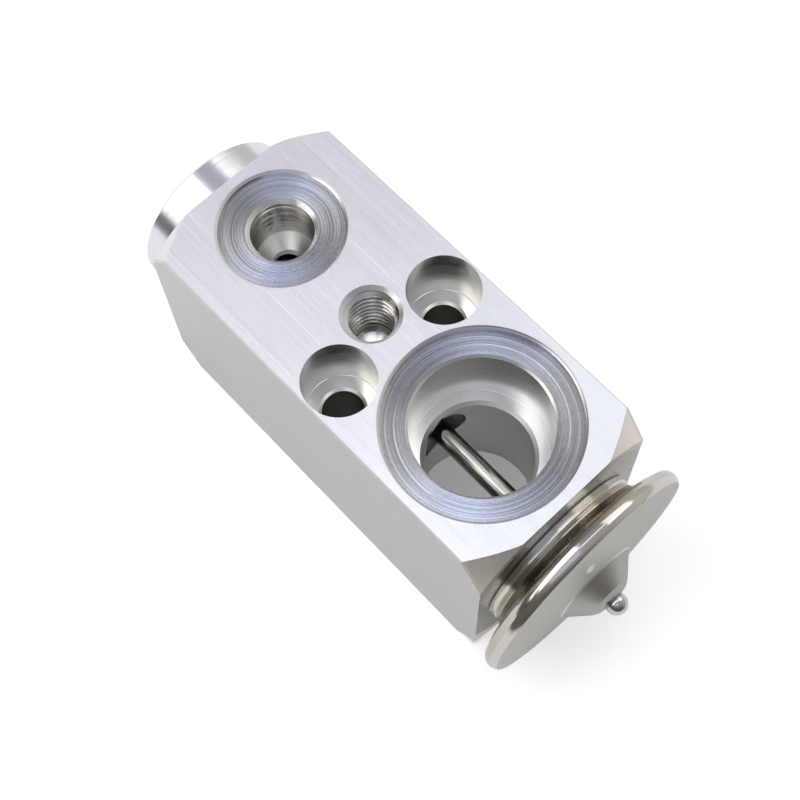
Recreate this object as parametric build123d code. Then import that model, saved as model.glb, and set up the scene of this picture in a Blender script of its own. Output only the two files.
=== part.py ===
from build123d import *
import math
import os

# Thermostatic expansion valve of the block type, as fitted between the refrigerant lines and an
# evaporator. A milled aluminium block carries two through-flow circuits. Liquid enters the small
# port on the line side, passes a spring-loaded ball at its seat and leaves on the evaporator side.
# Suction vapour crosses the block in the large passage, where it meets the operating rod that
# runs along the block's axis from the power head to the ball.
#
# Frame: X is the valve's axis, towards the power head. Y is across the block. Z is the line
# side's outward normal, so the valve lies on its evaporator side. The origin is on the
# evaporator side, midway between the two bolt holes. Sizes are in millimetres.

# Block
block_width = 32.0
block_depth = 39.0
block_length = 69.0
end_turning_radius = 21.2
edge_break = 0.25
boss_radius = 13.5
boss_length = 8.4
boss_edge_break = 0.6

# Line side, large port and the suction passage behind it
suction_neck_wall = 1.4
suction_seat_radius = 14.55
suction_seat_depth = 1.3
suction_bore_radius = 10.3
suction_bore_depth = 14.0
passage_radius = 8.15
passage_ledge_break = 0.55

# Line side, small port and the liquid drilling behind it
liquid_port_from_far_end = 11.3
liquid_seat_radius = 9.7
liquid_seat_depth = 0.8
liquid_bore_radius = 4.75
liquid_bore_depth = 10.0
liquid_rim_break = 0.6
liquid_drilling_radius = 2.65

# Rims of the seats and pockets
seat_rim_break = 0.35
pocket_rim_break = 0.5

# Line side, thread for the clamp plate's screw
clamp_thread_radius = 4.0
clamp_tap_drill_radius = 3.4
clamp_thread_depth = 12.6
clamp_hole_depth = 13.6
clamp_rim_break = 0.6
clamp_hole_behind_bolts = 4.4
drill_point_angle = 59.0

# Mounting bolts, one each side of the axis
bolt_head_radius = 5.5
bolt_head_depth = 11.4
bolt_hole_radius = 3.2
bolt_head_wall = 0.4
seat_pocket_wall = 0.677
bolt_step_break = 0.4

# Evaporator side pockets
return_pocket_radius = 9.5
return_pocket_depth = 7.4
feed_pocket_radius = 6.0
feed_pocket_depth = 9.0
feed_drilling_radius = 3.6
feed_port_from_far_end = 20.2

# Seat, spring chamber and adjusting screw
orifice_radius = 2.2
orifice_length = 1.9
seat_cone_radius = 3.0
chamber_radius = 6.2
chamber_length = 12.4
screw_radius = 7.95
screw_running_gap = 0.05
screw_length = 7.2
screw_recess = 1.6
screw_socket_flats = 8.0
screw_socket_depth = 4.5
screw_seal_wire = 1.5
screw_seal_from_inner_end = 1.0
screw_end_break = 0.5
screw_bore_break = 0.7

# Ball, carrier and superheat spring
ball_radius = 3.175
closed_gap = 0.04
ball_grip = 0.8
carrier_flange_radius = 4.7
carrier_flange_length = 2.8
carrier_pilot_radius = 3.2
carrier_pilot_length = 1.8
spring_wire = 1.1
spring_pitch = 1.9
spring_end_gap = 0.02

# Operating rod and its seal
rod_radius = 1.6
rod_tip_radius = 1.2
rod_tip_length = 8.0
rod_tip_dish = 0.12
rod_running_gap = 0.05
seal_bore_radius = 4.2
seal_bore_depth = 5.0
retainer_gap = 0.05
retainer_thickness = 0.5
retainer_rod_gap = 0.3
retainer_teeth = 8
retainer_tooth_height = 1.1

# Power head
neck_radius = 9.5
neck_length = 4.0
neck_gap = 0.05
neck_bottom_room = 0.4
neck_bore_radius = 6.0
head_seal_radius = 11.6
head_seal_wire = 1.3
ring_radius = 13.75
ring_thickness = 1.42
ring_break = 0.2
dish_start_radius = 13.2
dish_floor = 2.6
dish_floor_radius = 12.5
dish_heel = 3.1
dish_heel_radius = 14.6
dish_knee = 3.7
dish_knee_radius = 17.2
rim_radius = 19.2
rim_start = 4.3
rim_thickness_below = 1.1
rim_thickness_above = 1.15
rim_crown = 0.45
cover_thickness = 0.9
land_width = 2.2
diaphragm_thickness = 0.15
cover_rise = 1.2
dome_base_radius = 7.0
dome_step = 0.25
dome_shoulder_radius = 3.7
dome_shoulder_drop = 0.7
dome_top_radius = 1.9
dome_rise = 3.65
plug_radius = 1.7
plug_above_dome = 0.65
stop_radius = 11.5
stop_thickness = 1.1
stop_hub_radius = 3.4
stop_hub_length = 1.4
stop_gap = 0.05
rod_in_hub = 1.8

# Places that follow from the sizes
bolt_offset = block_width / 2 - bolt_head_radius - bolt_head_wall
suction_port_from_head_end = neck_length + neck_bottom_room + suction_neck_wall + suction_bore_radius
seat_to_bolt = suction_seat_radius + seat_pocket_wall + bolt_head_radius
head_end = suction_port_from_head_end + math.sqrt(seat_to_bolt ** 2 - bolt_offset ** 2)
far_end = head_end - block_length
boss_end = far_end - boss_length
axis_height = block_depth / 2
suction_x = head_end - suction_port_from_head_end
liquid_x = far_end + liquid_port_from_far_end
feed_x = far_end + feed_port_from_far_end
clamp_x = -clamp_hole_behind_bolts
seat_face = feed_x - feed_drilling_radius - orifice_length
chamber_end = seat_face - chamber_length
screw_outer_end = boss_end + screw_recess
screw_inner_end = screw_outer_end + screw_length
seal_floor = suction_x - passage_radius - seal_bore_depth
rod_seal_wire = seal_bore_radius - rod_radius - rod_running_gap
retainer_inner_end = seal_floor + rod_seal_wire + retainer_gap
retainer_outer_end = retainer_inner_end + retainer_thickness
diaphragm_plane = head_end + rim_start + rim_thickness_below
cover_plane = diaphragm_plane + diaphragm_thickness
cover_front = cover_plane + rim_thickness_above
rim_back = head_end + rim_start
rim_middle = (rim_back + cover_front) / 2
dome_base = cover_front + cover_rise
dome_top = dome_base + dome_rise
ball_centre = seat_face + seat_cone_radius - ball_radius * math.sqrt(2) - closed_gap
rod_tip_end = ball_centre + ball_radius - rod_tip_dish
carrier_face = ball_centre - ball_radius + ball_grip
carrier_shoulder = carrier_face - carrier_flange_length
spring_mean_radius = carrier_flange_radius - spring_wire / 2
stop_top = diaphragm_plane - stop_gap
stop_hub_end = stop_top - stop_thickness - stop_hub_length


def turned(*outline, closed_by=None):
    """Solid of revolution about the valve's axis, from (x, radius) points and perhaps an arc."""
    border = Polyline(*outline) + closed_by if closed_by else Polyline(*outline, close=True)
    return Pos(0, 0, axis_height) * revolve(make_face(border), Axis.X)


def along_axis(radius, start, end):
    """Plain cylinder on the valve's axis between two x positions."""
    return turned((start, 0), (start, radius), (end, radius), (end, 0))


def sunk(x, y, mouth, direction, *outline):
    """Drilling from a face at height mouth; outline is (depth, radius) from its mouth inwards."""
    points = [(0, 0)] + [(radius, -depth) for depth, radius in outline]
    if outline[-1][1] > 0:
        points.append((0, -outline[-1][0]))
    tool = revolve(make_face(Polyline(*points, close=True)), Axis.Y)
    tool = Rot(90, 0, 0) * tool
    if direction < 0:
        tool = Rot(180, 0, 0) * tool
    return Pos(x, y, mouth) * tool


def ring_seal(inner_radius, wire, centre_x):
    """O-ring round the valve's axis, given the radius that it sits on and its wire."""
    ring = Rot(0, 90, 0) * Torus(inner_radius + wire / 2, wire / 2)
    return Pos(centre_x, 0, axis_height) * ring


def block_blank():
    """Sawn block with broken long edges and both ends turned, with the boss on the far end."""
    blank = Box(block_length, block_width, block_depth)
    blank = chamfer(blank.edges().filter_by(Axis.X), edge_break)
    blank = Pos((head_end + far_end) / 2, 0, axis_height) * blank
    reach = math.hypot(block_width, block_depth) / 2 + 1 - end_turning_radius
    turned_ends = turned(
        (far_end, 0), (far_end, end_turning_radius),
        (far_end + reach, end_turning_radius + reach),
        (head_end - reach, end_turning_radius + reach),
        (head_end, end_turning_radius), (head_end, 0),
    )
    boss = turned(
        (boss_end, 0), (boss_end, boss_radius - boss_edge_break),
        (boss_end + boss_edge_break, boss_radius), (far_end + 1, boss_radius), (far_end + 1, 0),
    )
    return (blank & turned_ends) + boss


def line_side_ports():
    """Suction port, liquid port and the tapped clamp hole, all sunk from the line side."""
    suction = sunk(
        suction_x, 0, block_depth, 1,
        (0, suction_seat_radius), (seat_rim_break, suction_seat_radius - seat_rim_break),
        (suction_seat_depth, suction_seat_radius - seat_rim_break),
        (suction_seat_depth, suction_bore_radius + seat_rim_break),
        (suction_seat_depth + seat_rim_break, suction_bore_radius),
        (suction_bore_depth, suction_bore_radius),
        (suction_bore_depth, passage_radius + passage_ledge_break),
        (suction_bore_depth + passage_ledge_break, passage_radius),
        (block_depth, passage_radius),
    )
    cone_end = liquid_bore_depth + liquid_bore_radius - liquid_drilling_radius
    liquid = sunk(
        liquid_x, 0, block_depth, 1,
        (0, liquid_seat_radius), (seat_rim_break, liquid_seat_radius - seat_rim_break),
        (liquid_seat_depth, liquid_seat_radius - seat_rim_break),
        (liquid_seat_depth, liquid_bore_radius + liquid_rim_break),
        (liquid_seat_depth + liquid_rim_break, liquid_bore_radius),
        (liquid_bore_depth, liquid_bore_radius), (cone_end, liquid_drilling_radius),
        (block_depth / 2, liquid_drilling_radius),
    )
    point = clamp_tap_drill_radius / math.tan(math.radians(drill_point_angle))
    clamp = sunk(
        clamp_x, 0, block_depth, 1,
        (0, clamp_thread_radius + clamp_rim_break), (clamp_rim_break, clamp_thread_radius),
        (clamp_thread_depth, clamp_thread_radius), (clamp_thread_depth, clamp_tap_drill_radius),
        (clamp_hole_depth, clamp_tap_drill_radius), (clamp_hole_depth + point, 0),
    )
    return [suction, liquid, clamp]


def bolt_holes():
    """Through holes for the two mounting bolts, with deep pockets for their heads."""
    holes = []
    for side in (-1, 1):
        holes.append(sunk(
            0, side * bolt_offset, block_depth, 1,
            (0, bolt_head_radius), (bolt_head_depth, bolt_head_radius),
            (bolt_head_depth, bolt_hole_radius + bolt_step_break),
            (bolt_head_depth + bolt_step_break, bolt_hole_radius),
            (block_depth, bolt_hole_radius),
        ))
    return holes


def evaporator_side_ports():
    """Pocket of the suction passage and the feed to the evaporator, sunk from below."""
    suction_return = sunk(
        suction_x, 0, 0, -1,
        (0, return_pocket_radius + pocket_rim_break), (pocket_rim_break, return_pocket_radius),
        (return_pocket_depth, return_pocket_radius), (return_pocket_depth, passage_radius),
        (block_depth / 2, passage_radius),
    )
    feed = sunk(
        feed_x, 0, 0, -1,
        (0, feed_pocket_radius + pocket_rim_break), (pocket_rim_break, feed_pocket_radius),
        (feed_pocket_depth, feed_pocket_radius), (feed_pocket_depth, feed_drilling_radius),
        (axis_height + rod_radius, feed_drilling_radius), (axis_height + feed_drilling_radius, 0),
    )
    return [suction_return, feed]


def axial_bores():
    """Everything bored on the valve's axis, from the boss to the power head's end."""
    screw_bore = turned(
        (boss_end, 0), (boss_end, screw_radius + screw_running_gap + screw_bore_break),
        (boss_end + screw_bore_break, screw_radius + screw_running_gap),
        (chamber_end, screw_radius + screw_running_gap), (chamber_end, chamber_radius),
        (seat_face, chamber_radius), (seat_face, seat_cone_radius),
        (seat_face + seat_cone_radius - orifice_radius, orifice_radius),
        (feed_x, orifice_radius), (feed_x, 0),
    )
    guide = along_axis(rod_radius + rod_running_gap, feed_x, head_end)
    seal_bore = along_axis(seal_bore_radius, seal_floor, head_end)
    neck_bore = along_axis(neck_radius + neck_gap, head_end - neck_length - neck_bottom_room, head_end)
    seal_step = along_axis(head_seal_radius, head_end - head_seal_wire, head_end)
    return [screw_bore, guide, seal_bore, neck_bore, seal_step]


def valve_body():
    body = block_blank()
    for cut in line_side_ports() + bolt_holes() + evaporator_side_ports() + axial_bores():
        body = body - cut
    return body


def crowned_radius(x):
    """Radius of the power head's rounded rim at an x position."""
    half = rim_middle - rim_back
    bend = (half ** 2 + rim_crown ** 2) / (2 * rim_crown)
    return rim_radius - bend + math.sqrt(bend ** 2 - (x - rim_middle) ** 2)


def crown(start, end):
    """Arc of the rounded rim between two x positions."""
    return ThreePointArc(*((x, crowned_radius(x)) for x in (start, (start + end) / 2, end)))


def head_base():
    """Lower half of the power head: screwed neck, seat ring, flared dish and its clamped rim."""
    ring_end = head_end + ring_thickness
    floor = head_end + dish_floor
    outline = [
        (diaphragm_plane, crowned_radius(diaphragm_plane)), (diaphragm_plane, rim_radius - land_width),
        (floor, dish_floor_radius), (floor, neck_bore_radius),
        (head_end - neck_length, neck_bore_radius), (head_end - neck_length, neck_radius - ring_break),
        (head_end - neck_length + ring_break, neck_radius), (head_end, neck_radius),
        (head_end, ring_radius - ring_break), (head_end + ring_break, ring_radius),
        (ring_end - ring_break, ring_radius), (ring_end, ring_radius - ring_break),
        (ring_end, dish_start_radius), (head_end + dish_heel, dish_heel_radius),
        (head_end + dish_knee, dish_knee_radius), (rim_back, crowned_radius(rim_back)),
    ]
    return turned(*outline, closed_by=crown(rim_back, diaphragm_plane))


def inset(outline, depth):
    """Line parallel to an outline of (x, radius) points, at a depth towards the valve's inside."""
    lines = []
    for (x1, r1), (x2, r2) in zip(outline, outline[1:]):
        length = math.hypot(x2 - x1, r2 - r1)
        normal = ((r2 - r1) / length, (x1 - x2) / length)
        lines.append((normal, normal[0] * x1 + normal[1] * r1 + depth))
    first, last = lines[0][0], lines[-1][0]
    points = [(outline[0][0] + first[0] * depth, outline[0][1] + first[1] * depth)]
    for (normal, reach), (other, other_reach) in zip(lines, lines[1:]):
        det = normal[0] * other[1] - normal[1] * other[0]
        x = (reach * other[1] - normal[1] * other_reach) / det
        radius = (normal[0] * other_reach - reach * other[0]) / det
        points.append((x, radius))
    points.append((outline[-1][0] + last[0] * depth, outline[-1][1] + last[1] * depth))
    return points


def head_cover():
    """Upper half of the power head, drawn from one sheet with a dome for the charge."""
    edge = crowned_radius(cover_front)
    land = rim_radius - land_width
    slope = cover_rise / (edge - dome_base_radius)
    dome = [
        (dome_base, dome_base_radius), (dome_base + dome_step, dome_base_radius - dome_step),
        (dome_top - dome_shoulder_drop, dome_shoulder_radius),
        (dome_top - dome_shoulder_drop / 4, (dome_shoulder_radius + dome_top_radius) / 2),
        (dome_top, dome_top_radius), (dome_top, 0),
    ]
    inside = inset([(cover_front + slope * (edge - land), land), *dome], cover_thickness)
    cover = turned(
        (cover_front, edge), *dome, *reversed(inside), (cover_plane, inside[0][1]),
        (cover_plane, crowned_radius(cover_plane)), closed_by=crown(cover_plane, cover_front),
    )
    return cover - charge_plug()


def charge_plug():
    """Ball that is welded into the dome's filling hole."""
    return Pos(dome_top + plug_above_dome, 0, axis_height) * Sphere(plug_radius)


def diaphragm():
    """Thin metal disc clamped between the two halves of the power head."""
    return along_axis(crowned_radius(diaphragm_plane), diaphragm_plane, cover_plane)


def diaphragm_stop():
    """Plate under the diaphragm with a hub for the rod's end."""
    plate_back = stop_top - stop_thickness
    plate = turned(
        (stop_hub_end, 0), (stop_hub_end, stop_hub_radius), (plate_back, stop_hub_radius),
        (plate_back, stop_radius - ring_break), (plate_back + ring_break, stop_radius),
        (stop_top - ring_break, stop_radius), (stop_top, stop_radius - ring_break), (stop_top, 0),
    )
    return plate - along_axis(rod_radius, stop_hub_end, stop_hub_end + rod_in_hub)


def head_seal():
    """O-ring that the power head's ring squeezes against the block."""
    return ring_seal(neck_radius, head_seal_wire, head_end - head_seal_wire / 2)


def operating_rod():
    """Polished rod from the diaphragm's stop to the ball, with a thinner tip through the orifice."""
    shoulder = rod_tip_end + rod_tip_length
    rod = turned(
        (rod_tip_end, 0), (rod_tip_end, rod_tip_radius), (shoulder, rod_tip_radius),
        (shoulder + rod_radius - rod_tip_radius, rod_radius),
        (stop_hub_end + rod_in_hub, rod_radius), (stop_hub_end + rod_in_hub, 0),
    )
    return rod - valve_ball()


def rod_seal():
    """O-ring round the rod, at the bottom of its bore."""
    return ring_seal(seal_bore_radius - rod_seal_wire, rod_seal_wire, seal_floor + rod_seal_wire / 2)


def seal_retainer():
    """Toothed push-in washer that keeps the rod's O-ring in its bore."""
    washer = along_axis(seal_bore_radius, retainer_inner_end, retainer_outer_end)
    hole = along_axis(rod_radius + retainer_rod_gap, retainer_inner_end, retainer_outer_end)
    washer = washer - hole
    slot_width = 2 * math.pi * seal_bore_radius / retainer_teeth / 3
    slot = Box(retainer_thickness * 2, slot_width, retainer_tooth_height * 2)
    for tooth in range(retainer_teeth):
        turn = Rot(360 / retainer_teeth * tooth, 0, 0)
        cut = turn * Pos(0, 0, seal_bore_radius) * slot
        washer = washer - Pos(retainer_outer_end - retainer_thickness / 2, 0, axis_height) * cut
    return washer


def valve_ball():
    return Pos(ball_centre, 0, axis_height) * Sphere(ball_radius)


def ball_carrier():
    """Cup behind the ball, with a pilot inside the spring."""
    pilot_end = carrier_shoulder - carrier_pilot_length
    carrier = turned(
        (carrier_face, 0), (carrier_face, carrier_flange_radius),
        (carrier_shoulder, carrier_flange_radius), (carrier_shoulder, carrier_pilot_radius),
        (pilot_end, carrier_pilot_radius), (pilot_end, 0),
    )
    return carrier - valve_ball()


def superheat_spring():
    """Coil spring between the carrier's shoulder and the adjusting screw."""
    length = carrier_shoulder - screw_inner_end - spring_wire - 2 * spring_end_gap
    path = Helix(spring_pitch, length, spring_mean_radius)
    section = Plane(path @ 0, z_dir=path % 0) * Circle(spring_wire / 2)
    coil = Rot(0, 90, 0) * sweep(section, path)
    return Pos(screw_inner_end + spring_end_gap + spring_wire / 2, 0, axis_height) * coil


def adjusting_screw():
    """Screw that sets the spring's load, with a hexagon socket and a groove for its O-ring."""
    groove_end = screw_inner_end - screw_seal_from_inner_end
    groove_start = groove_end - screw_seal_wire * 1.1
    groove_radius = screw_radius - screw_seal_wire
    screw = turned(
        (screw_outer_end, 0), (screw_outer_end, screw_radius - screw_end_break),
        (screw_outer_end + screw_end_break, screw_radius),
        (groove_start, screw_radius), (groove_start, groove_radius), (groove_end, groove_radius),
        (groove_end, screw_radius), (screw_inner_end - screw_end_break, screw_radius),
        (screw_inner_end, screw_radius - screw_end_break), (screw_inner_end, 0),
    )
    hexagon = RegularPolygon(screw_socket_flats / 2, 6, major_radius=False)
    socket = extrude(Plane.YZ * hexagon, screw_socket_depth)
    return screw - Pos(screw_outer_end, 0, axis_height) * socket


def screw_seal():
    """O-ring in the adjusting screw's groove."""
    centre = screw_inner_end - screw_seal_from_inner_end - screw_seal_wire * 0.55
    return ring_seal(screw_radius - screw_seal_wire, screw_seal_wire, centre)


nodes = {
    "valve_body": valve_body,
    "head_base": head_base,
    "head_cover": head_cover,
    "charge_plug": charge_plug,
    "diaphragm": diaphragm,
    "diaphragm_stop": diaphragm_stop,
    "head_seal": head_seal,
    "operating_rod": operating_rod,
    "rod_seal": rod_seal,
    "seal_retainer": seal_retainer,
    "valve_ball": valve_ball,
    "ball_carrier": ball_carrier,
    "superheat_spring": superheat_spring,
    "adjusting_screw": adjusting_screw,
    "screw_seal": screw_seal,
}

os.makedirs("parts", exist_ok=True)
for name, make in nodes.items():
    solid = make()
    export_step(solid, f"parts/{name}.step")
    print(name, round(solid.volume, 1), "mm3")
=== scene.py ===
# %% [markdown]
# # A thermostatic expansion valve, rebuilt in Blender
#
# The valve is a milled aluminium block with a steel power head on one end. Its shapes come from
# the CAD model, which this script loads as a fixed frame. What is made here is the look: the
# finishes, the thread in the clamp hole, a spring wound in two halves, and the small marks that
# tools and welding leave behind.
#
# Every object is in metres. X runs along the valve's axis towards the power head, Y across the
# block and Z up out of the face with the ports.

# %% Load the frame
import math

import bmesh
import bpy
from mathutils import Matrix, Vector


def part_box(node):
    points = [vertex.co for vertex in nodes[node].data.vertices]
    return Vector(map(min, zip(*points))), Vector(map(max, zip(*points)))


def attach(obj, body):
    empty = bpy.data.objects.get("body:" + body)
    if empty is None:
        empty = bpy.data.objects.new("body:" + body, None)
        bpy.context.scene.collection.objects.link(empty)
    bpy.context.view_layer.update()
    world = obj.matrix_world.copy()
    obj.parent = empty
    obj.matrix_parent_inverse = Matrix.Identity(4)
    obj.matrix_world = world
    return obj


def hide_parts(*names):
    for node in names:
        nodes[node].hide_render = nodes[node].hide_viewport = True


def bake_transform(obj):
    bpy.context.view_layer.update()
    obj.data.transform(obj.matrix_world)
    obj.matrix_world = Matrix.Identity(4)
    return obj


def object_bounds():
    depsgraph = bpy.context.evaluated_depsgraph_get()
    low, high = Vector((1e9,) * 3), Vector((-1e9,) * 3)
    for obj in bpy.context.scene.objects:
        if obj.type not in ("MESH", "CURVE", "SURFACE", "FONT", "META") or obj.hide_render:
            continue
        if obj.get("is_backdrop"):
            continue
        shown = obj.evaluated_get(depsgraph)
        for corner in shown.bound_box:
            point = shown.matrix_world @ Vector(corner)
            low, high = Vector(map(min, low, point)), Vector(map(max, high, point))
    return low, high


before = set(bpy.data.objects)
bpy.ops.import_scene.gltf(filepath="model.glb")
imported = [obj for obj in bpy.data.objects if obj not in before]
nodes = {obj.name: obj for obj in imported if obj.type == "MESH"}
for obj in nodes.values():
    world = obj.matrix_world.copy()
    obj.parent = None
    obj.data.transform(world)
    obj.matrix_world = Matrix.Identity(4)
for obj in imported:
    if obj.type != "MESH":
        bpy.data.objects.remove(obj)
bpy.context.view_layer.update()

# %% [markdown]
# ## Measures that the looks need
#
# A finish follows the tool that cut the surface. The seats were turned about their own bores, so
# their marks are rings about those centres. The places below repeat the CAD model's values, and
# a node's box gives the rest, so nothing has to be fitted by eye. They are kept in millimetres,
# in which marks are easier to picture, and a new piece is scaled to metres when it is made.

# %% Places on the block
MM = 0.001
body_low, body_high = [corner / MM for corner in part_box("valve_body")]
top = body_high.z
axis_height = (body_low.z + top) / 2
half_width = body_high.y
head_end = body_high.x
block_length = 69.0
far_end = head_end - block_length
middle = head_end - block_length / 2
suction_x, liquid_x, clamp_x, bolt_y = 18.1, -23.5, -4.4, 10.1
suction_seat_radius, liquid_seat_radius, clamp_hole_radius = 14.55, 9.7, 4.0
suction_bore_depth, bolt_pocket_depth = 14.0, 11.4
suction_ledge = top - suction_bore_depth
pocket_floor_height = top - bolt_pocket_depth
print("port face at", round(top, 2), "mm, axis at", round(axis_height, 2), "mm")

# %% [markdown]
# ## Camera
#
# The photograph was taken from about 20 cm, close enough for the block's long edges to converge.
# A long lens from further off would draw them parallel. So the camera stands where the fitted
# perspective puts it, and the lens gives the same field of view.

# %% Camera
camera_place = Vector((66.297, -55.346, 232.011)) * MM
camera_right = Vector((0.68926, 0.72449, -0.00514))
camera_up = Vector((-0.66507, 0.63552, 0.39217))
camera_back = camera_right.cross(camera_up)
turn = Matrix((camera_right, camera_up, camera_back)).transposed().to_4x4()

camera_data = bpy.data.cameras.new("camera")
camera_data.sensor_width = 36.0
camera_data.lens = 67.757
camera_data.shift_x = -0.03125
camera_data.shift_y = -0.05
camera_data.clip_start = 0.01
camera = bpy.data.objects.new("camera", camera_data)
camera.matrix_world = Matrix.Translation(camera_place) @ turn
bpy.context.scene.collection.objects.link(camera)
bpy.context.scene.camera = camera
print("camera", round(camera_place.length, 3), "m from the origin")

# %% [markdown]
# ## Shader maths as plain expressions
#
# A finish is mostly arithmetic: how far a point is from a bore's centre, whether that lies inside
# a seat, how strong a scratch is there. Wiring each sum by hand hides the idea, so a small class
# wraps a node's socket and turns each operator into a Math node. One method makes every other
# kind of node.

# %% A socket that can be added and multiplied
class Wire:
    """One output socket in a material's node tree, used like a number."""

    def __init__(self, sheet, socket):
        self.sheet, self.socket = sheet, socket

    def math(self, operation, *values):
        return self.sheet.node("ShaderNodeMath", {"operation": operation}, dict(enumerate(values)))

    def __add__(self, other): return self.math("ADD", self, other)
    def __radd__(self, other): return self.math("ADD", other, self)
    def __sub__(self, other): return self.math("SUBTRACT", self, other)
    def __rsub__(self, other): return self.math("SUBTRACT", other, self)
    def __mul__(self, other): return self.math("MULTIPLY", self, other)
    def __rmul__(self, other): return self.math("MULTIPLY", other, self)
    def __truediv__(self, other): return self.math("DIVIDE", self, other)
    def __pow__(self, other): return self.math("POWER", self, other)
    def __abs__(self): return self.math("ABSOLUTE", self)


class Sheet:
    """A node tree whose shader is fed from expressions."""

    def __init__(self, tree, shader, **constants):
        self.tree, self.shader = tree, tree.nodes[shader]
        for socket, value in constants.items():
            self.shader.inputs[socket.replace("_", " ")].default_value = value

    def node(self, kind, settings=None, sockets=None, output=0):
        """Any node: its type, its settings, then its sockets' values or wires, by name or number."""
        made = self.tree.nodes.new(kind)
        for key, value in (settings or {}).items():
            setattr(made, key, value)
        for key, value in (sockets or {}).items():
            if isinstance(value, Wire):
                self.tree.links.new(value.socket, made.inputs[key])
            else:
                made.inputs[key].default_value = value
        return Wire(self, made.outputs[output])

    def feed(self, **wires):
        for socket, wire in wires.items():
            self.tree.links.new(wire.socket, self.shader.inputs[socket.replace("_", " ")])


class Finish(Sheet):
    """A material made of one Principled shader."""

    def __init__(self, name, **constants):
        self.material = bpy.data.materials.new(name)
        self.material.use_nodes = True
        super().__init__(self.material.node_tree, "Principled BSDF", **constants)


print("shader helpers ready")

# %% [markdown]
# Positions come from the object's own coordinates, so a mark stays where the tool left it when
# the piece moves. A few words are worth having for what every finish asks: the distance from an
# upright bore or from the valve's axis, how far it lies in a direction, a soft threshold, and
# noise drawn out along a direction.

# %% Words for places and marks
def place(sheet):
    """The three coordinates of a point on the piece, in millimetres."""
    spot = sheet.node("ShaderNodeTexCoord", output="Object")
    scaled = sheet.node("ShaderNodeVectorMath", {"operation": "SCALE"}, {0: spot, "Scale": 1000.0})
    return [sheet.node("ShaderNodeSeparateXYZ", None, {0: scaled}, output=i) for i in range(3)]


def facing(sheet):
    """The three parts of the surface's own normal."""
    normal = sheet.node("ShaderNodeTexCoord", output="Normal")
    return [sheet.node("ShaderNodeSeparateXYZ", None, {0: normal}, output=i) for i in range(3)]


def distance(a, b):
    return (a * a + b * b) ** 0.5


def heading(a, b, degrees):
    """How far a point lies in a direction, given as an angle from the first coordinate's axis."""
    angle = math.radians(degrees)
    return a * math.cos(angle) + b * math.sin(angle)


def smooth(value, start, end):
    """Rises from 0 at start to 1 at end, and stays between them."""
    settings = {"interpolation_type": "SMOOTHSTEP"}
    sockets = {"Value": value, "From Min": start, "From Max": end}
    return value.sheet.node("ShaderNodeMapRange", settings, sockets)


def between(value, low, high, soft=0.02):
    return smooth(value, low - soft, low + soft) * (1 - smooth(value, high - soft, high + soft))


def marks(sheet, x, y, z, detail=3.0):
    """Noise read at three coordinates, so that a stretched coordinate gives streaks."""
    spot = sheet.node("ShaderNodeCombineXYZ", None, {0: x, 1: y, 2: z})
    settings = {"noise_dimensions": "3D"}
    return sheet.node("ShaderNodeTexNoise", settings, {"Vector": spot, "Scale": 1.0, "Detail": detail})


def blend(sheet, amount, first, second):
    """A colour between two colours."""
    sockets = {"Factor": amount, 6: first, 7: second}
    return sheet.node("ShaderNodeMix", {"data_type": "RGBA"}, sockets, output=2)


def vector(sheet, x, y, z):
    return sheet.node("ShaderNodeCombineXYZ", None, {0: x, 1: y, 2: z})


def vector_math(sheet, operation, first, second=None, **sockets):
    pair = {0: first} if second is None else {0: first, 1: second}
    return sheet.node("ShaderNodeVectorMath", {"operation": operation}, {**pair, **sockets})


def brushed(sheet, along, amount):
    """The normal, tipped across the direction of the marks, as countless fine grooves tip it."""
    normal = sheet.node("ShaderNodeNewGeometry", output="Normal")
    across = vector_math(sheet, "CROSS_PRODUCT", along, normal)
    tipped = vector_math(sheet, "ADD", normal, vector_math(sheet, "SCALE", across, Scale=amount))
    return vector_math(sheet, "NORMALIZE", tipped)


def bumps(sheet, height, strength, depth_mm):
    sockets = {"Strength": strength, "Distance": depth_mm * MM, "Height": height}
    return sheet.node("ShaderNodeBump", None, sockets)


def finish_node(sheet, *names):
    """Puts a finish on CAD nodes."""
    for name in names:
        slots = nodes[name].data.materials
        slots.clear()
        slots.append(sheet.material)


print("marks ready")

# %% [markdown]
# ## Aluminium block
#
# The block is sawn from drawn bar. Its port face is fly-cut, which leaves fine straight streaks
# along the block. The seats are bored with a form tool that leaves rings, and the ends and the
# boss are turned. The long sides keep the bar's drawn skin. One material holds all of it: a mask
# for each surface says where it lies, by height, by distance from a bore and by the way it faces.

# %% Where each cut is
block = Finish("milled_aluminium", Metallic=1.0)
x, y, z = place(block)
nx, ny, nz = facing(block)
from_suction = distance(x - suction_x, y)
from_liquid = distance(x - liquid_x, y)
from_clamp = distance(x - clamp_x, y)
from_axis = distance(y, z - axis_height)

upward = smooth(nz, 0.6, 0.9)
in_suction = 1 - smooth(from_suction, suction_seat_radius + 0.15, suction_seat_radius + 0.2)
in_liquid = 1 - smooth(from_liquid, liquid_seat_radius + 0.2, liquid_seat_radius + 0.25)
beside_ports = 1 - in_suction - in_liquid
on_port_face = upward * smooth(z, top - 0.15, top - 0.05)
on_seat = upward * (in_suction + in_liquid) * between(z, top - 2.0, top - 0.2)
on_side = smooth(abs(ny), 0.95, 0.99) * smooth(abs(y), half_width - 0.1, half_width - 0.05)
edgeways = between(abs(ny), 0.4, 0.9) * between(abs(nz), 0.4, 0.9)
on_long_edge = edgeways * smooth(abs(y), half_width - 0.4, half_width - 0.3)
on_boss = 1 - smooth(x, far_end + 0.02, far_end + 0.06)
near_end = smooth(abs(x - middle), block_length / 2 - 8.0, block_length / 2 - 7.0)
on_end_cone = near_end * smooth(abs(nx), 0.3, 0.4) * smooth(from_axis, 19.0, 19.5) * beside_ports
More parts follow.
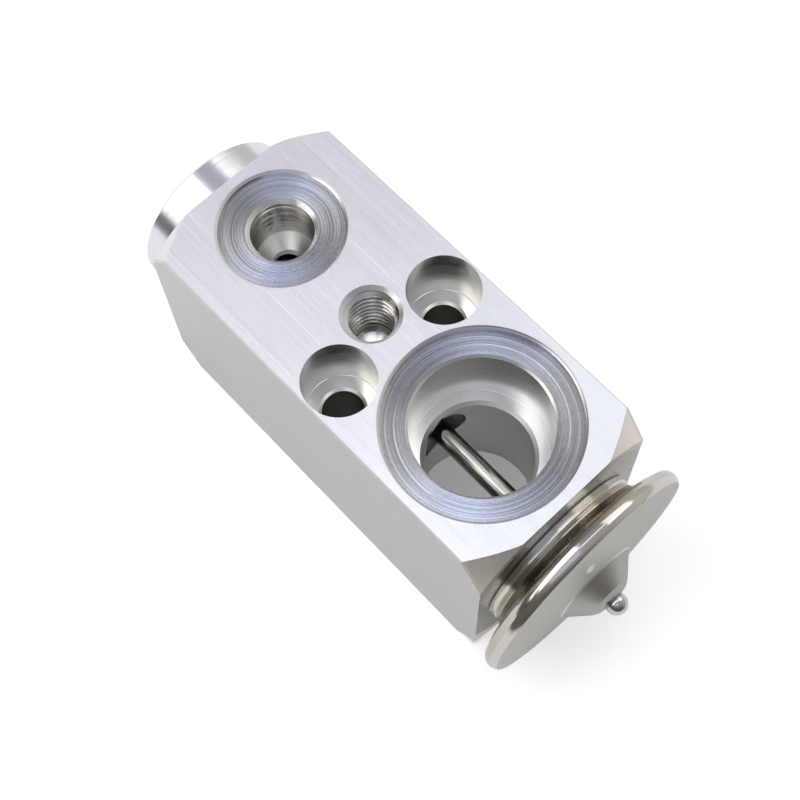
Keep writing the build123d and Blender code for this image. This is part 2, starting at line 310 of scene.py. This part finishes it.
on_head_cone = on_end_cone * smooth(x, 0.0, 1.0)
on_head_end = smooth(nx, 0.9, 0.97) * smooth(x, head_end - 0.1, head_end - 0.05)
turned = 1 - (1 - on_boss) * (1 - on_end_cone)
upright_wall = (1 - smooth(abs(nz), 0.2, 0.3)) * (1 - on_side) * (1 - turned)
flat = (1 - in_suction) * (1 - in_liquid) * (1 - turned) * (1 - upright_wall)
pocket_floor = upward * flat * (1 - smooth(z, top - 1.0, top - 0.5))
on_ledge = in_suction * upward * between(z, suction_ledge - 0.3, suction_ledge + 0.3)
in_clamp_hole = 1 - smooth(from_clamp, clamp_hole_radius - 0.1, clamp_hole_radius + 0.1)
drill_point = upward * in_clamp_hole * (1 - smooth(z, top - 2.0, top - 1.0))
chamfer = between(nz, 0.3, 0.93) * (1 - turned)
ledge_corner = in_suction * between(z, suction_ledge, suction_ledge + 0.35)
in_pockets = 1 - smooth(distance(x, abs(y) - bolt_y), 5.7, 6.0)
pocket_corner = in_pockets * between(z, pocket_floor_height, pocket_floor_height + 0.2)
corner = upright_wall * (ledge_corner + pocket_corner)
print("masks made")

# %% [markdown]
# Every groove that a tool cuts tips the surface a little across its own direction, so a streak of
# light spreads across the marks and stays sharp along them. The block needs one field of
# directions: round each port's centre, round the valve's axis on the boss and the ends, round an
# upright hole on its wall, and along the block elsewhere.
#
# The seats get the widest spread, because their form tool chatters, and the large bore the least.
# Chamfers and the inner corners of bores are worn or left by a tool's rounded nose. They lean a
# little upward, which gives each rim the thin light line that the photograph shows. The drilled
# point at the bottom of the clamp hole leans outward, as a blunter one would, and so mirrors the
# lamps.

# %% Direction of the marks
round_x = in_suction * y / from_suction * -1 + in_liquid * y / from_liquid * -1
round_y = in_suction * (x - suction_x) / from_suction
round_y = round_y + in_liquid * (x - liquid_x) / from_liquid
axis_y = turned * (z - axis_height) / from_axis * -1
axis_z = turned * y / from_axis
along = vector(
    block,
    round_x + flat - upright_wall * beside_ports * ny,
    round_y + axis_y * beside_ports + upright_wall * beside_ports * nx,
    axis_z * beside_ports,
)
grooves_per_mm = 17.0
fine = marks(
    block,
    (from_suction * in_suction + from_liquid * in_liquid + turned * x) * grooves_per_mm,
    y * flat * grooves_per_mm,
    z * (upright_wall + on_side) * grooves_per_mm,
    2.0,
)
wall_spread = 0.9 - in_suction * 0.4
spread = on_seat * 3.2 + flat * (1 - drill_point) + turned * 0.8 + upright_wall * wall_spread
blunting = drill_point * 0.31 / from_clamp
lean = vector(
    block,
    blunting * (x - clamp_x),
    blunting * y,
    chamfer * 0.22 + corner * (1.4 + in_suction * 4.0),
)
leaning = vector_math(block, "ADD", brushed(block, along, (fine - 0.5) * spread), lean)
normal = vector_math(block, "NORMALIZE", leaning)
print("direction field made")

# %% [markdown]
# Colour follows the same marks. Streaks, rings and a slow cloud of tone break up every surface,
# a few scratches cross the port face and small pits lie on the drawn sides. Light and shade are
# painted in too. The port face gets lighter towards -Y and the boss end. Each seat carries a
# painted reflection as a bluish fan, which on the large seat is darker towards +Y. Painted shade
# darkens the large port's wall on the side towards the head, its seat's outer wall and its rim on
# the +Y side. A painted highlight lightens the large port on the side towards the boss, painted
# shade darkens two opposite sides of the small bore, and the block's end face under the head is
# painted dark.

# %% Marks on the aluminium
streaks = marks(block, x * 0.06, y * 6.0, z * 3.0, 4.0)
broad_streaks = marks(block, x * 0.04, y * 0.9, z * 0.4, 2.0)
suction_rings = marks(block, from_suction * 5.0, z * 0.2, 0.0, 4.0)
liquid_rings = marks(block, from_liquid * 5.0, z * 0.2, 7.0, 4.0)
axis_rings = marks(block, x * 3.0, from_axis * 3.0, 3.0, 3.0)
cloud = marks(block, x * 0.08, y * 0.12, z * 0.08, 3.0)
grain = marks(block, x * 2.5, y * 2.5, z * 2.5, 3.0)
scratches = marks(block, x * 0.3 + y * 0.1, y * 8.0 - x * 3.0, 5.0, 1.0)
pits = marks(block, x * 1.1, y, z * 1.1, 1.0)
scribed_circles = (12.12, 13.34)
seat_lines = sum(between(from_suction, radius, radius + 0.12, 0.03) for radius in scribed_circles)
# Painted reflection: a bluish fan in two opposite sectors of each seat's rings.
painted_fan_reflection = heading(round_x, round_y, 40) ** 2.0
painted_fan_reflection = painted_fan_reflection * painted_fan_reflection

line = (streaks - 0.5) * flat + (broad_streaks - 0.5) * 0.5 * flat
rings = (suction_rings - 0.5) * in_suction * 0.35 + (liquid_rings - 0.5) * in_liquid * 0.35
rings = rings + (axis_rings - 0.5) * turned * 0.4
shade = 0.5 + line * 0.7 + rings * 0.9 + (grain - 0.5) * 0.3 + (cloud - 0.5) * 0.35
shade = shade + seat_lines * on_seat * 0.45 + smooth(scratches, 0.68, 0.72) * on_port_face * 0.2
# Painted light: the port face is made lighter towards -Y and towards the boss end.
shade = shade - (y * 0.018 + x * 0.006) * on_port_face + in_liquid * 0.28
# Painted shade: on the large seat the fan gets darker towards +Y and lighter towards -Y.
shade = shade - y * 0.012 * painted_fan_reflection * on_seat * in_suction
shade = smooth(shade, 0.1, 0.9)
print("marks on the block made")

# %% Colour and roughness of the aluminium
plain_seat = blend(block, shade, (0.17, 0.172, 0.176, 1), (0.43, 0.432, 0.435, 1))
seat_painted_reflection = blend(block, shade, (0.32, 0.345, 0.42, 1), (0.64, 0.69, 0.85, 1))
seat_tone = blend(block, painted_fan_reflection, plain_seat, seat_painted_reflection)

drawn_skin = cloud * 0.6 + streaks * 0.4
side_tone = blend(block, drawn_skin, (0.63, 0.62, 0.595, 1), (0.73, 0.72, 0.695, 1))
side_tone = blend(block, smooth(pits, 0.71, 0.77), side_tone, (0.5, 0.49, 0.47, 1))

# Painted shade on the large port's wall above the ledge on the side towards the head, and all round
# the seat's outer wall.
towards_head = heading(x - suction_x, y, 37)
painted_port_shade = in_suction * smooth(towards_head, 4.0, 10.0) * smooth(z, suction_ledge, suction_ledge + 0.4)
painted_port_shade = painted_port_shade + in_suction * smooth(from_suction, 14.3, 14.4) * (1 - painted_port_shade) * 0.8
in_passage = in_suction * (1 - smooth(z, suction_ledge - 0.4, suction_ledge - 0.1))
wall_tone = blend(block, in_suction, (0.86, 0.845, 0.8, 1), (0.72, 0.71, 0.68, 1))
wall_tone = blend(block, in_passage, wall_tone, (0.9, 0.89, 0.86, 1))
wall_tone = blend(block, painted_port_shade, wall_tone, (0.28, 0.275, 0.27, 1))
# Painted shade on two opposite sides of the small bore's wall.
sideways = abs(heading(x - liquid_x, y, 46))
wall_tone = blend(block, in_liquid * smooth(sideways, 2.6, 4.4), wall_tone, (0.36, 0.35, 0.33, 1))

# Painted highlight: the large port's walls and ledge are made lighter on the side towards the boss.
towards_boss = heading(x - suction_x, y, 204)
painted_passage_highlight = in_suction * (1 - on_port_face) * (1 - on_seat) * smooth(towards_boss, 1.0, 9.0)
# Painted shade: the large seat's rim is darker on its +Y side.
painted_rim_shade = in_suction * smooth(from_suction, 14.3, 14.5) * smooth(y, 6.0, 11.0)
rim_tone = blend(block, painted_rim_shade, (0.86, 0.86, 0.85, 1), (0.42, 0.42, 0.43, 1))

tone = blend(block, shade, (0.77, 0.78, 0.805, 1), (0.95, 0.955, 0.975, 1))
tone = blend(block, pocket_floor, tone, (0.84, 0.83, 0.79, 1))
tone = blend(block, drill_point + on_ledge, tone, (0.97, 0.97, 0.95, 1))
tone = blend(block, on_seat, tone, seat_tone)
tone = blend(block, upright_wall, tone, wall_tone)
tone = blend(block, painted_passage_highlight, tone, (0.99, 0.98, 0.92, 1))
tone = blend(block, chamfer + corner, tone, rim_tone)
# Painted shade on the block's end face under the power head.
tone = blend(block, on_head_end, tone, (0.34, 0.33, 0.3, 1))
tone = blend(block, on_head_cone, tone, (0.95, 0.9, 0.82, 1))
tone = blend(block, on_side, tone, side_tone)

rough = 0.3 + on_port_face * 0.04 + on_side * 0.14 + on_long_edge * 0.4 + on_head_cone * 0.3
rough = rough - on_seat * 0.12 - turned * 0.1 - upright_wall * 0.12 - drill_point * 0.18
rough = rough + (cloud - 0.5) * 0.06 - line * 0.06
block.feed(Base_Color=tone, Roughness=rough, Normal=normal)
finish_node(block, "valve_body")
print("block material has", len(block.tree.nodes), "nodes")

# %% [markdown]
# ## Power head
#
# The lower half of the head is turned stainless steel, warm and rather glossy, with a lighter ring
# where it screws into the block. Turning marks run round the axis, so they tip the normal across
# that direction too, but far less than on the aluminium.

# %% Bright turned steel
bright_steel = Finish("bright_turned_steel", Metallic=1.0)
x, y, z = place(bright_steel)
height = z - axis_height
radius = distance(y, height)
round_axis = vector(bright_steel, 0.0, height / radius, y / radius * -1)
fine = marks(bright_steel, x * 15.0, radius * 15.0, 1.0, 2.0)
patches = marks(bright_steel, x * 0.3, y * 0.3, z * 0.3, 2.0)
ring_face = 35.7
on_ring = 1 - smooth(x, ring_face, ring_face + 0.3)
tone = blend(bright_steel, patches, (0.56, 0.53, 0.465, 1), (0.68, 0.655, 0.58, 1))
tone = blend(bright_steel, on_ring, tone, (0.74, 0.715, 0.655, 1))
normal = brushed(bright_steel, round_axis, (fine - 0.5) * 0.03)
bright_steel.feed(Base_Color=tone, Roughness=0.08 + patches * 0.1, Normal=normal)
finish_node(bright_steel, "head_base", "diaphragm_stop", "diaphragm")
print("turned steel made")

# %% [markdown]
# The cover is drawn from sheet, which leaves a satin skin. Its rolled rim is polished by the
# rollers, and a lighter line runs where the dome rises from the plate. Beside the dome sits the
# small spot of a resistance weld, brighter than the sheet. Both stand out by a few hundredths of a
# millimetre on the real sheet, so colour and a slight bump are enough for them.

# %% Drawn sheet of the cover
satin_steel = Finish("satin_steel", Metallic=1.0)
x, y, z = place(satin_steel)
height = z - axis_height
radius = distance(y, height)
grain = marks(satin_steel, x * 5.0, y * 5.0, z * 5.0, 4.0)
patches = marks(satin_steel, x * 0.15, y * 0.15, z * 0.15, 2.0)
rim_radius, dome_radius = 18.6, 6.8
on_rim = smooth(radius, rim_radius, rim_radius + 0.15)
on_dome = 1 - smooth(radius, dome_radius - 0.2, dome_radius + 0.1)
base_line = between(radius, dome_radius, dome_radius + 0.25, 0.05)
weld_y, weld_height = -1.9, 10.8
weld_half_length, weld_half_width = 1.9, 0.9
outward = heading(y - weld_y, height - weld_height, 100)
aside = heading(y - weld_y, height - weld_height, 10)
from_weld = distance(outward / weld_half_length, aside / weld_half_width)
weld = smooth(1 - from_weld, 0.0, 0.6) * smooth(x, 40.5, 41.0)
tone = blend(satin_steel, grain * 0.3 + patches * 0.7, (0.54, 0.53, 0.49, 1), (0.64, 0.63, 0.58, 1))
tone = blend(satin_steel, on_rim, tone, (0.72, 0.68, 0.62, 1))
tone = blend(satin_steel, on_dome, tone, (0.47, 0.46, 0.42, 1))
tone = blend(satin_steel, base_line * 0.6, tone, (0.9, 0.89, 0.84, 1))
tone = blend(satin_steel, weld, tone, (0.97, 0.96, 0.93, 1))
rough = 0.4 + (grain - 0.5) * 0.1 - on_rim * 0.28 - on_dome * 0.06
relief = bumps(satin_steel, grain * 0.06 + weld * 5.0, 1.0, 0.02)
satin_steel.feed(Base_Color=tone, Roughness=rough, Normal=relief)
finish_node(satin_steel, "head_cover")
print("cover finished")

# %% [markdown]
# ## Small pieces
#
# The rod is centreless ground, which leaves it bright but greyer than the polished charge ball and
# the valve's own ball. The same recipe makes both, with long marks drawn out along the axis. The
# hidden pieces get the finish that such parts have: drawn spring wire, turned brass and black
# rubber with a slight bloom.

# %% Polished steel, spring steel, brass and rubber
def bright_finish(name, dark, light, wave):
    sheet = Finish(name, Metallic=1.0)
    x, y, z = place(sheet)
    drawn = marks(sheet, x * 0.12, y * 2.2, z * 2.2, 3.0)
    sheet.feed(Base_Color=blend(sheet, drawn, dark, light), Roughness=0.06 + drawn * 0.08)
    sheet.feed(Normal=bumps(sheet, drawn, 0.5, wave))
    return sheet


ground = bright_finish("ground_rod_steel", (0.3, 0.29, 0.27, 1), (0.56, 0.55, 0.52, 1), 0.12)
finish_node(ground, "operating_rod")
polished = bright_finish("polished_steel", (0.5, 0.49, 0.46, 1), (0.8, 0.79, 0.76, 1), 0.04)
finish_node(polished, "charge_plug", "valve_ball")

spring_steel = Finish("spring_steel", Metallic=1.0)
x, y, z = place(spring_steel)
drawn = marks(spring_steel, x * 3.0, y * 3.0, z * 3.0, 3.0)
tone = blend(spring_steel, drawn, (0.34, 0.34, 0.35, 1), (0.56, 0.56, 0.57, 1))
spring_steel.feed(Base_Color=tone, Roughness=0.25 + drawn * 0.2)
finish_node(spring_steel, "superheat_spring", "seal_retainer", "ball_carrier")

brass = Finish("turned_brass", Metallic=1.0)
x, y, z = place(brass)
radius = distance(y, z - axis_height)
grooves = marks(brass, x * 7.0, radius * 7.0, 2.0, 3.0)
tone = blend(brass, grooves, (0.6, 0.42, 0.16, 1), (0.82, 0.63, 0.3, 1))
brass.feed(Base_Color=tone, Roughness=0.2 + grooves * 0.15, Normal=bumps(brass, grooves, 0.2, 0.01))
finish_node(brass, "adjusting_screw")

rubber = Finish("seal_rubber")
x, y, z = place(rubber)
bloom = marks(rubber, x * 2.0, y * 2.0, z * 2.0, 3.0)
tone = blend(rubber, bloom, (0.012, 0.012, 0.013, 1), (0.035, 0.035, 0.036, 1))
rubber.feed(Base_Color=tone, Roughness=0.45 + bloom * 0.2)
finish_node(rubber, "head_seal", "rod_seal", "screw_seal")
print("small pieces finished")

# %% [markdown]
# ## Thread in the clamp hole
#
# The screw that holds the pipes' clamp plate goes into a tapped hole between the ports. A tap
# leaves one helical ridge, and its turns are plain to see in the photograph. A helix can be made
# with the Screw modifier, but walking the ridge's profile round the hole in code keeps its crest,
# its flanks and its run-out under control. The roots are painted dark as shade in the grooves,
# but not the first flank, which the countersink leaves open to the light.

# %% Clamp thread
def thread_ridge(name, centre, top_z, bottom_z, wall, crest, pitch):
    """One helical ridge on an upright bore's wall, with a run-out at each end; in millimetres."""
    mesh = bmesh.new()
    steps = 72
    run_out = steps * 0.4
    crest_start, crest_end, ridge_end = 0.344, 0.594, 0.9375
    turns = (top_z - bottom_z - pitch) / pitch
    rows = []
    count = int(turns * steps)
    for i in range(count + 1):
        angle = 2 * math.pi * i / steps
        height = top_z - pitch * i / steps
        fade = min(1.0, i / run_out, (count - i) / run_out)
        inner = wall - (wall - crest) * fade
        profile = [(wall, 0.0), (inner, crest_start), (inner, crest_end), (wall, ridge_end)]
        row = []
        for radius, drop in profile:
            spot = Vector((math.cos(angle) * radius, math.sin(angle) * radius, height - drop * pitch))
            row.append(mesh.verts.new((centre + spot) * MM))
        rows.append(row)
    for first, second in zip(rows, rows[1:]):
        for k in range(3):
            mesh.faces.new((first[k], first[k + 1], second[k + 1], second[k]))
    data = bpy.data.meshes.new(name)
    bmesh.ops.recalc_face_normals(mesh, faces=mesh.faces)
    mesh.to_mesh(data)
    mesh.free()
    return bpy.data.objects.new(name, data)


crest_radius, thread_pitch = 3.38, 1.25
thread_top, thread_bottom = top - 0.5, top - 12.4
thread_sizes = (thread_top, thread_bottom, clamp_hole_radius, crest_radius, thread_pitch)
thread = thread_ridge("clamp_thread", Vector((clamp_x, 0, 0)), *thread_sizes)
bpy.context.scene.collection.objects.link(thread)
tapped = Finish("tapped_aluminium", Metallic=1.0)
x, y, z = place(tapped)
cut = marks(tapped, x * 2.0, y * 2.0, z * 14.0, 3.0)
in_root = smooth(distance(x - clamp_x, y), crest_radius, crest_radius + 0.3)
# Painted shade: the thread's roots are dark below the first turn.
painted_root_shade = in_root * (1 - smooth(z, top - 2.4, top - 1.6))
tone = blend(tapped, cut, (0.75, 0.73, 0.7, 1), (0.95, 0.94, 0.93, 1))
tone = blend(tapped, painted_root_shade, tone, (0.16, 0.15, 0.13, 1))
tapped.feed(Base_Color=tone, Roughness=0.14 + cut * 0.12)
thread.data.materials.append(tapped.material)
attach(thread, "housing")
print("thread faces:", len(thread.data.polygons))

# %% [markdown]
# ## Superheat spring
#
# The spring is wound from round wire and shortens when the ball leaves its seat, or when the screw
# is turned in. A rigid coil would let the carrier cut into it. So the same helix is wound here in
# two halves that meet midway, one at the screw's end and one at the carrier's end.

# %% Superheat spring
def half_spring(name, start_x, first_turn, last_turn, pitch, mean_radius, wire_radius):
    """Round wire wound about the valve's axis, between two turns from start_x; in millimetres."""
    mesh = bmesh.new()
    steps, sides = 48, 16
    rise = pitch / (2 * math.pi * mean_radius)
    count = round((last_turn - first_turn) * steps)
    rows = []
    for i in range(count + 1):
        turn_here = first_turn + (last_turn - first_turn) * i / count
        angle = 2 * math.pi * turn_here
        outward = Vector((0, math.sin(angle), -math.cos(angle)))
        ahead = Vector((rise, math.cos(angle), math.sin(angle))).normalized()
        across = ahead.cross(outward)
        centre = Vector((start_x + pitch * turn_here, 0, axis_height)) + outward * mean_radius
        row = []
        for k in range(sides):
            side = 2 * math.pi * k / sides
            spot = outward * math.cos(side) + across * math.sin(side)
            row.append(mesh.verts.new((centre + spot * wire_radius) * MM))
        rows.append(row)
    for first, second in zip(rows, rows[1:]):
        for k in range(sides):
            after = (k + 1) % sides
            face = mesh.faces.new((first[k], first[after], second[after], second[k]))
            face.smooth = True
    mesh.faces.new(rows[0])
    mesh.faces.new(rows[-1])
    bmesh.ops.recalc_face_normals(mesh, faces=mesh.faces)
    data = bpy.data.meshes.new(name)
    mesh.to_mesh(data)
    mesh.free()
    made = bpy.data.objects.new(name, data)
    bpy.context.scene.collection.objects.link(made)
    data.materials.append(spring_steel.material)
    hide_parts("superheat_spring")
    return made


spring_low, spring_high = [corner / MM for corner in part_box("superheat_spring")]
wire_radius, spring_pitch, spring_radius = 0.55, 1.9, 4.15
winding = (spring_pitch, spring_radius, wire_radius)
start_x = spring_low.x + wire_radius
turns = (spring_high.x - start_x - wire_radius) / spring_pitch
screw_half = half_spring("superheat_spring_screw_half", start_x, 0.0, turns / 2, *winding)
carrier_half = half_spring("superheat_spring_carrier_half", start_x, turns / 2, turns, *winding)
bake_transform(screw_half)
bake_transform(carrier_half)
print("spring turns:", round(turns, 2))

# %% [markdown]
# ## Floor, lamps and surroundings
#
# The photograph is a product shot on white. Polished metal shows what stands around it, so the
# surroundings matter more than the lamps' power. The boss and the head's ring mirror them like a
# curved map: a broad soft lamp beyond the block, one overhead, a bright pair at the near left, a
# dim gap between and a dark room towards the near side.
#
# The floor is white to the camera and keeps the valve's shadow. It glows a little in reflections
# near the valve, and past the head's end it turns dark, because the dome and the rim mirror a
# sheet of paper that stops there. Under the block it doesn't glow, apart from a patch seen
# through the suction passage, where a weaker glow is painted light.

# %% Floor
def flat_square(name, size, height):
    data = bpy.data.meshes.new(name)
    corners = [(x * size, y * size, height) for x, y in ((-1, -1), (1, -1), (1, 1), (-1, 1))]
    data.from_pydata(corners, [], [(0, 1, 2, 3)])
    made = bpy.data.objects.new(name, data)
    bpy.context.scene.collection.objects.link(made)
    return made


floor = flat_square("floor", 3.0, 0.0)
paper = Finish("white_paper", Roughness=0.9)
x, y, z = place(paper)
weave = marks(paper, x * 0.4, y * 0.4, 0.0, 3.0)
paper_fades, paper_ends = 96.4, 182.5
far_off = smooth(heading(x, y, -30.5), paper_fades, paper_ends)
sheet_tone = blend(paper, weave, (0.9, 0.9, 0.9, 1), (0.93, 0.93, 0.93, 1))
paper.feed(Base_Color=blend(paper, far_off, sheet_tone, (0.16, 0.15, 0.14, 1)))
rays = ("Is Camera Ray", "Is Glossy Ray", "Is Transmission Ray")
camera_ray, glossy_ray, clear_ray = [paper.node("ShaderNodeLightPath", output=ray) for ray in rays]
in_length = 1 - smooth(abs(x - middle), block_length / 2 - 1, block_length / 2)
in_width = 1 - smooth(abs(y), half_width - 1, half_width)
# Painted light: under the block the floor glows at 40 % in a patch seen through the suction passage.
seen_x, seen_y, seen_radius = suction_x - 3.0, 4.0, 8.0
through = 1 - smooth(distance(x - seen_x, y - seen_y), seen_radius, seen_radius + 6.0)
beside = 1 - in_length * in_width * (1 - through * 0.4)
glow_tone = blend(paper, far_off, (0.5, 0.5, 0.5, 1), (1, 1, 1, 1))
glow = paper.node("ShaderNodeEmission", None, {"Color": glow_tone, "Strength": 1.0})
plain = Wire(paper, paper.shader.outputs[0])
both = paper.node("ShaderNodeAddShader", None, {0: plain, 1: glow})
lit = (camera_ray + glossy_ray * (1 - far_off) * 0.3 + clear_ray) * beside
mixed = paper.node("ShaderNodeMixShader", None, {0: lit, 1: plain, 2: both})
paper.tree.links.new(mixed.socket, paper.tree.nodes["Material Output"].inputs["Surface"])
floor.data.materials.append(paper.material)
floor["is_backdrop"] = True
print("floor ready")

# %% Lamps
LAMP_HEIGHT = 0.6


def soft_lamp(name, across, beyond, brightness, colour):
    """A level panel; across and beyond give its edges as slopes of the light's rays in X and Y."""
    data = bpy.data.lights.new(name, "AREA")
    data.shape = "RECTANGLE"
    data.size = (across[1] - across[0]) * LAMP_HEIGHT
    data.size_y = (beyond[1] - beyond[0]) * LAMP_HEIGHT
    data.energy = brightness * math.pi * data.size * data.size_y
    data.color = colour
    lamp = bpy.data.objects.new(name, data)
    towards = Vector((sum(across) / 2, sum(beyond) / 2, 1.0))
    lamp.location = Vector((0, 0, top * MM)) + towards * LAMP_HEIGHT
    lamp.visible_camera = False
    bpy.context.scene.collection.objects.link(lamp)
    print(name, round(data.energy, 2), "W")


soft_lamp("far_panel", (-0.8, 0.4), (0.55, 1.75), 1.15, (1.0, 0.99, 0.96))
soft_lamp("top_panel", (-0.24, 0.1), (-0.05, 0.55), 1.0, (0.97, 0.98, 1.0))
soft_lamp("near_right_panel", (0.14, 0.6), (-0.9, -0.1), 0.3, (0.76, 0.86, 1.0))
soft_lamp("near_left_panel", (-1.5, -0.1), (-1.4, -0.06), 1.75, (1.0, 1.0, 1.0))
soft_lamp("left_panel", (-1.6, -0.75), (-2.4, -1.4), 1.4, (1.0, 1.0, 1.0))

# %% Surroundings
world = bpy.data.worlds.new("room")
bpy.context.scene.world = world
world.use_nodes = True
room = Sheet(world.node_tree, "Background", Strength=1.0)
direction = room.node("ShaderNodeTexCoord", output="Generated")
dy, dz = [room.node("ShaderNodeSeparateXYZ", None, {0: direction}, output=i) for i in (1, 2)]
far_side = smooth(dy, -0.1, 0.9)
overhead = smooth(dz, 0.35, 0.95)
low = blend(room, far_side, (0.14, 0.13, 0.12, 1), (0.56, 0.55, 0.53, 1))
high = blend(room, overhead, low, (0.4, 0.4, 0.46, 1))
below = 1 - smooth(dz, -0.1, 0.0)
room.feed(Color=blend(room, below, high, (0.75, 0.75, 0.74, 1)))

scene = bpy.context.scene
scene.view_settings.view_transform = "Standard"
print("surroundings ready")

# %% Write the sizes and end
low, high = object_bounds()
print("visual box in mm:", [round(v * 1000, 2) for v in (*low, *high)])
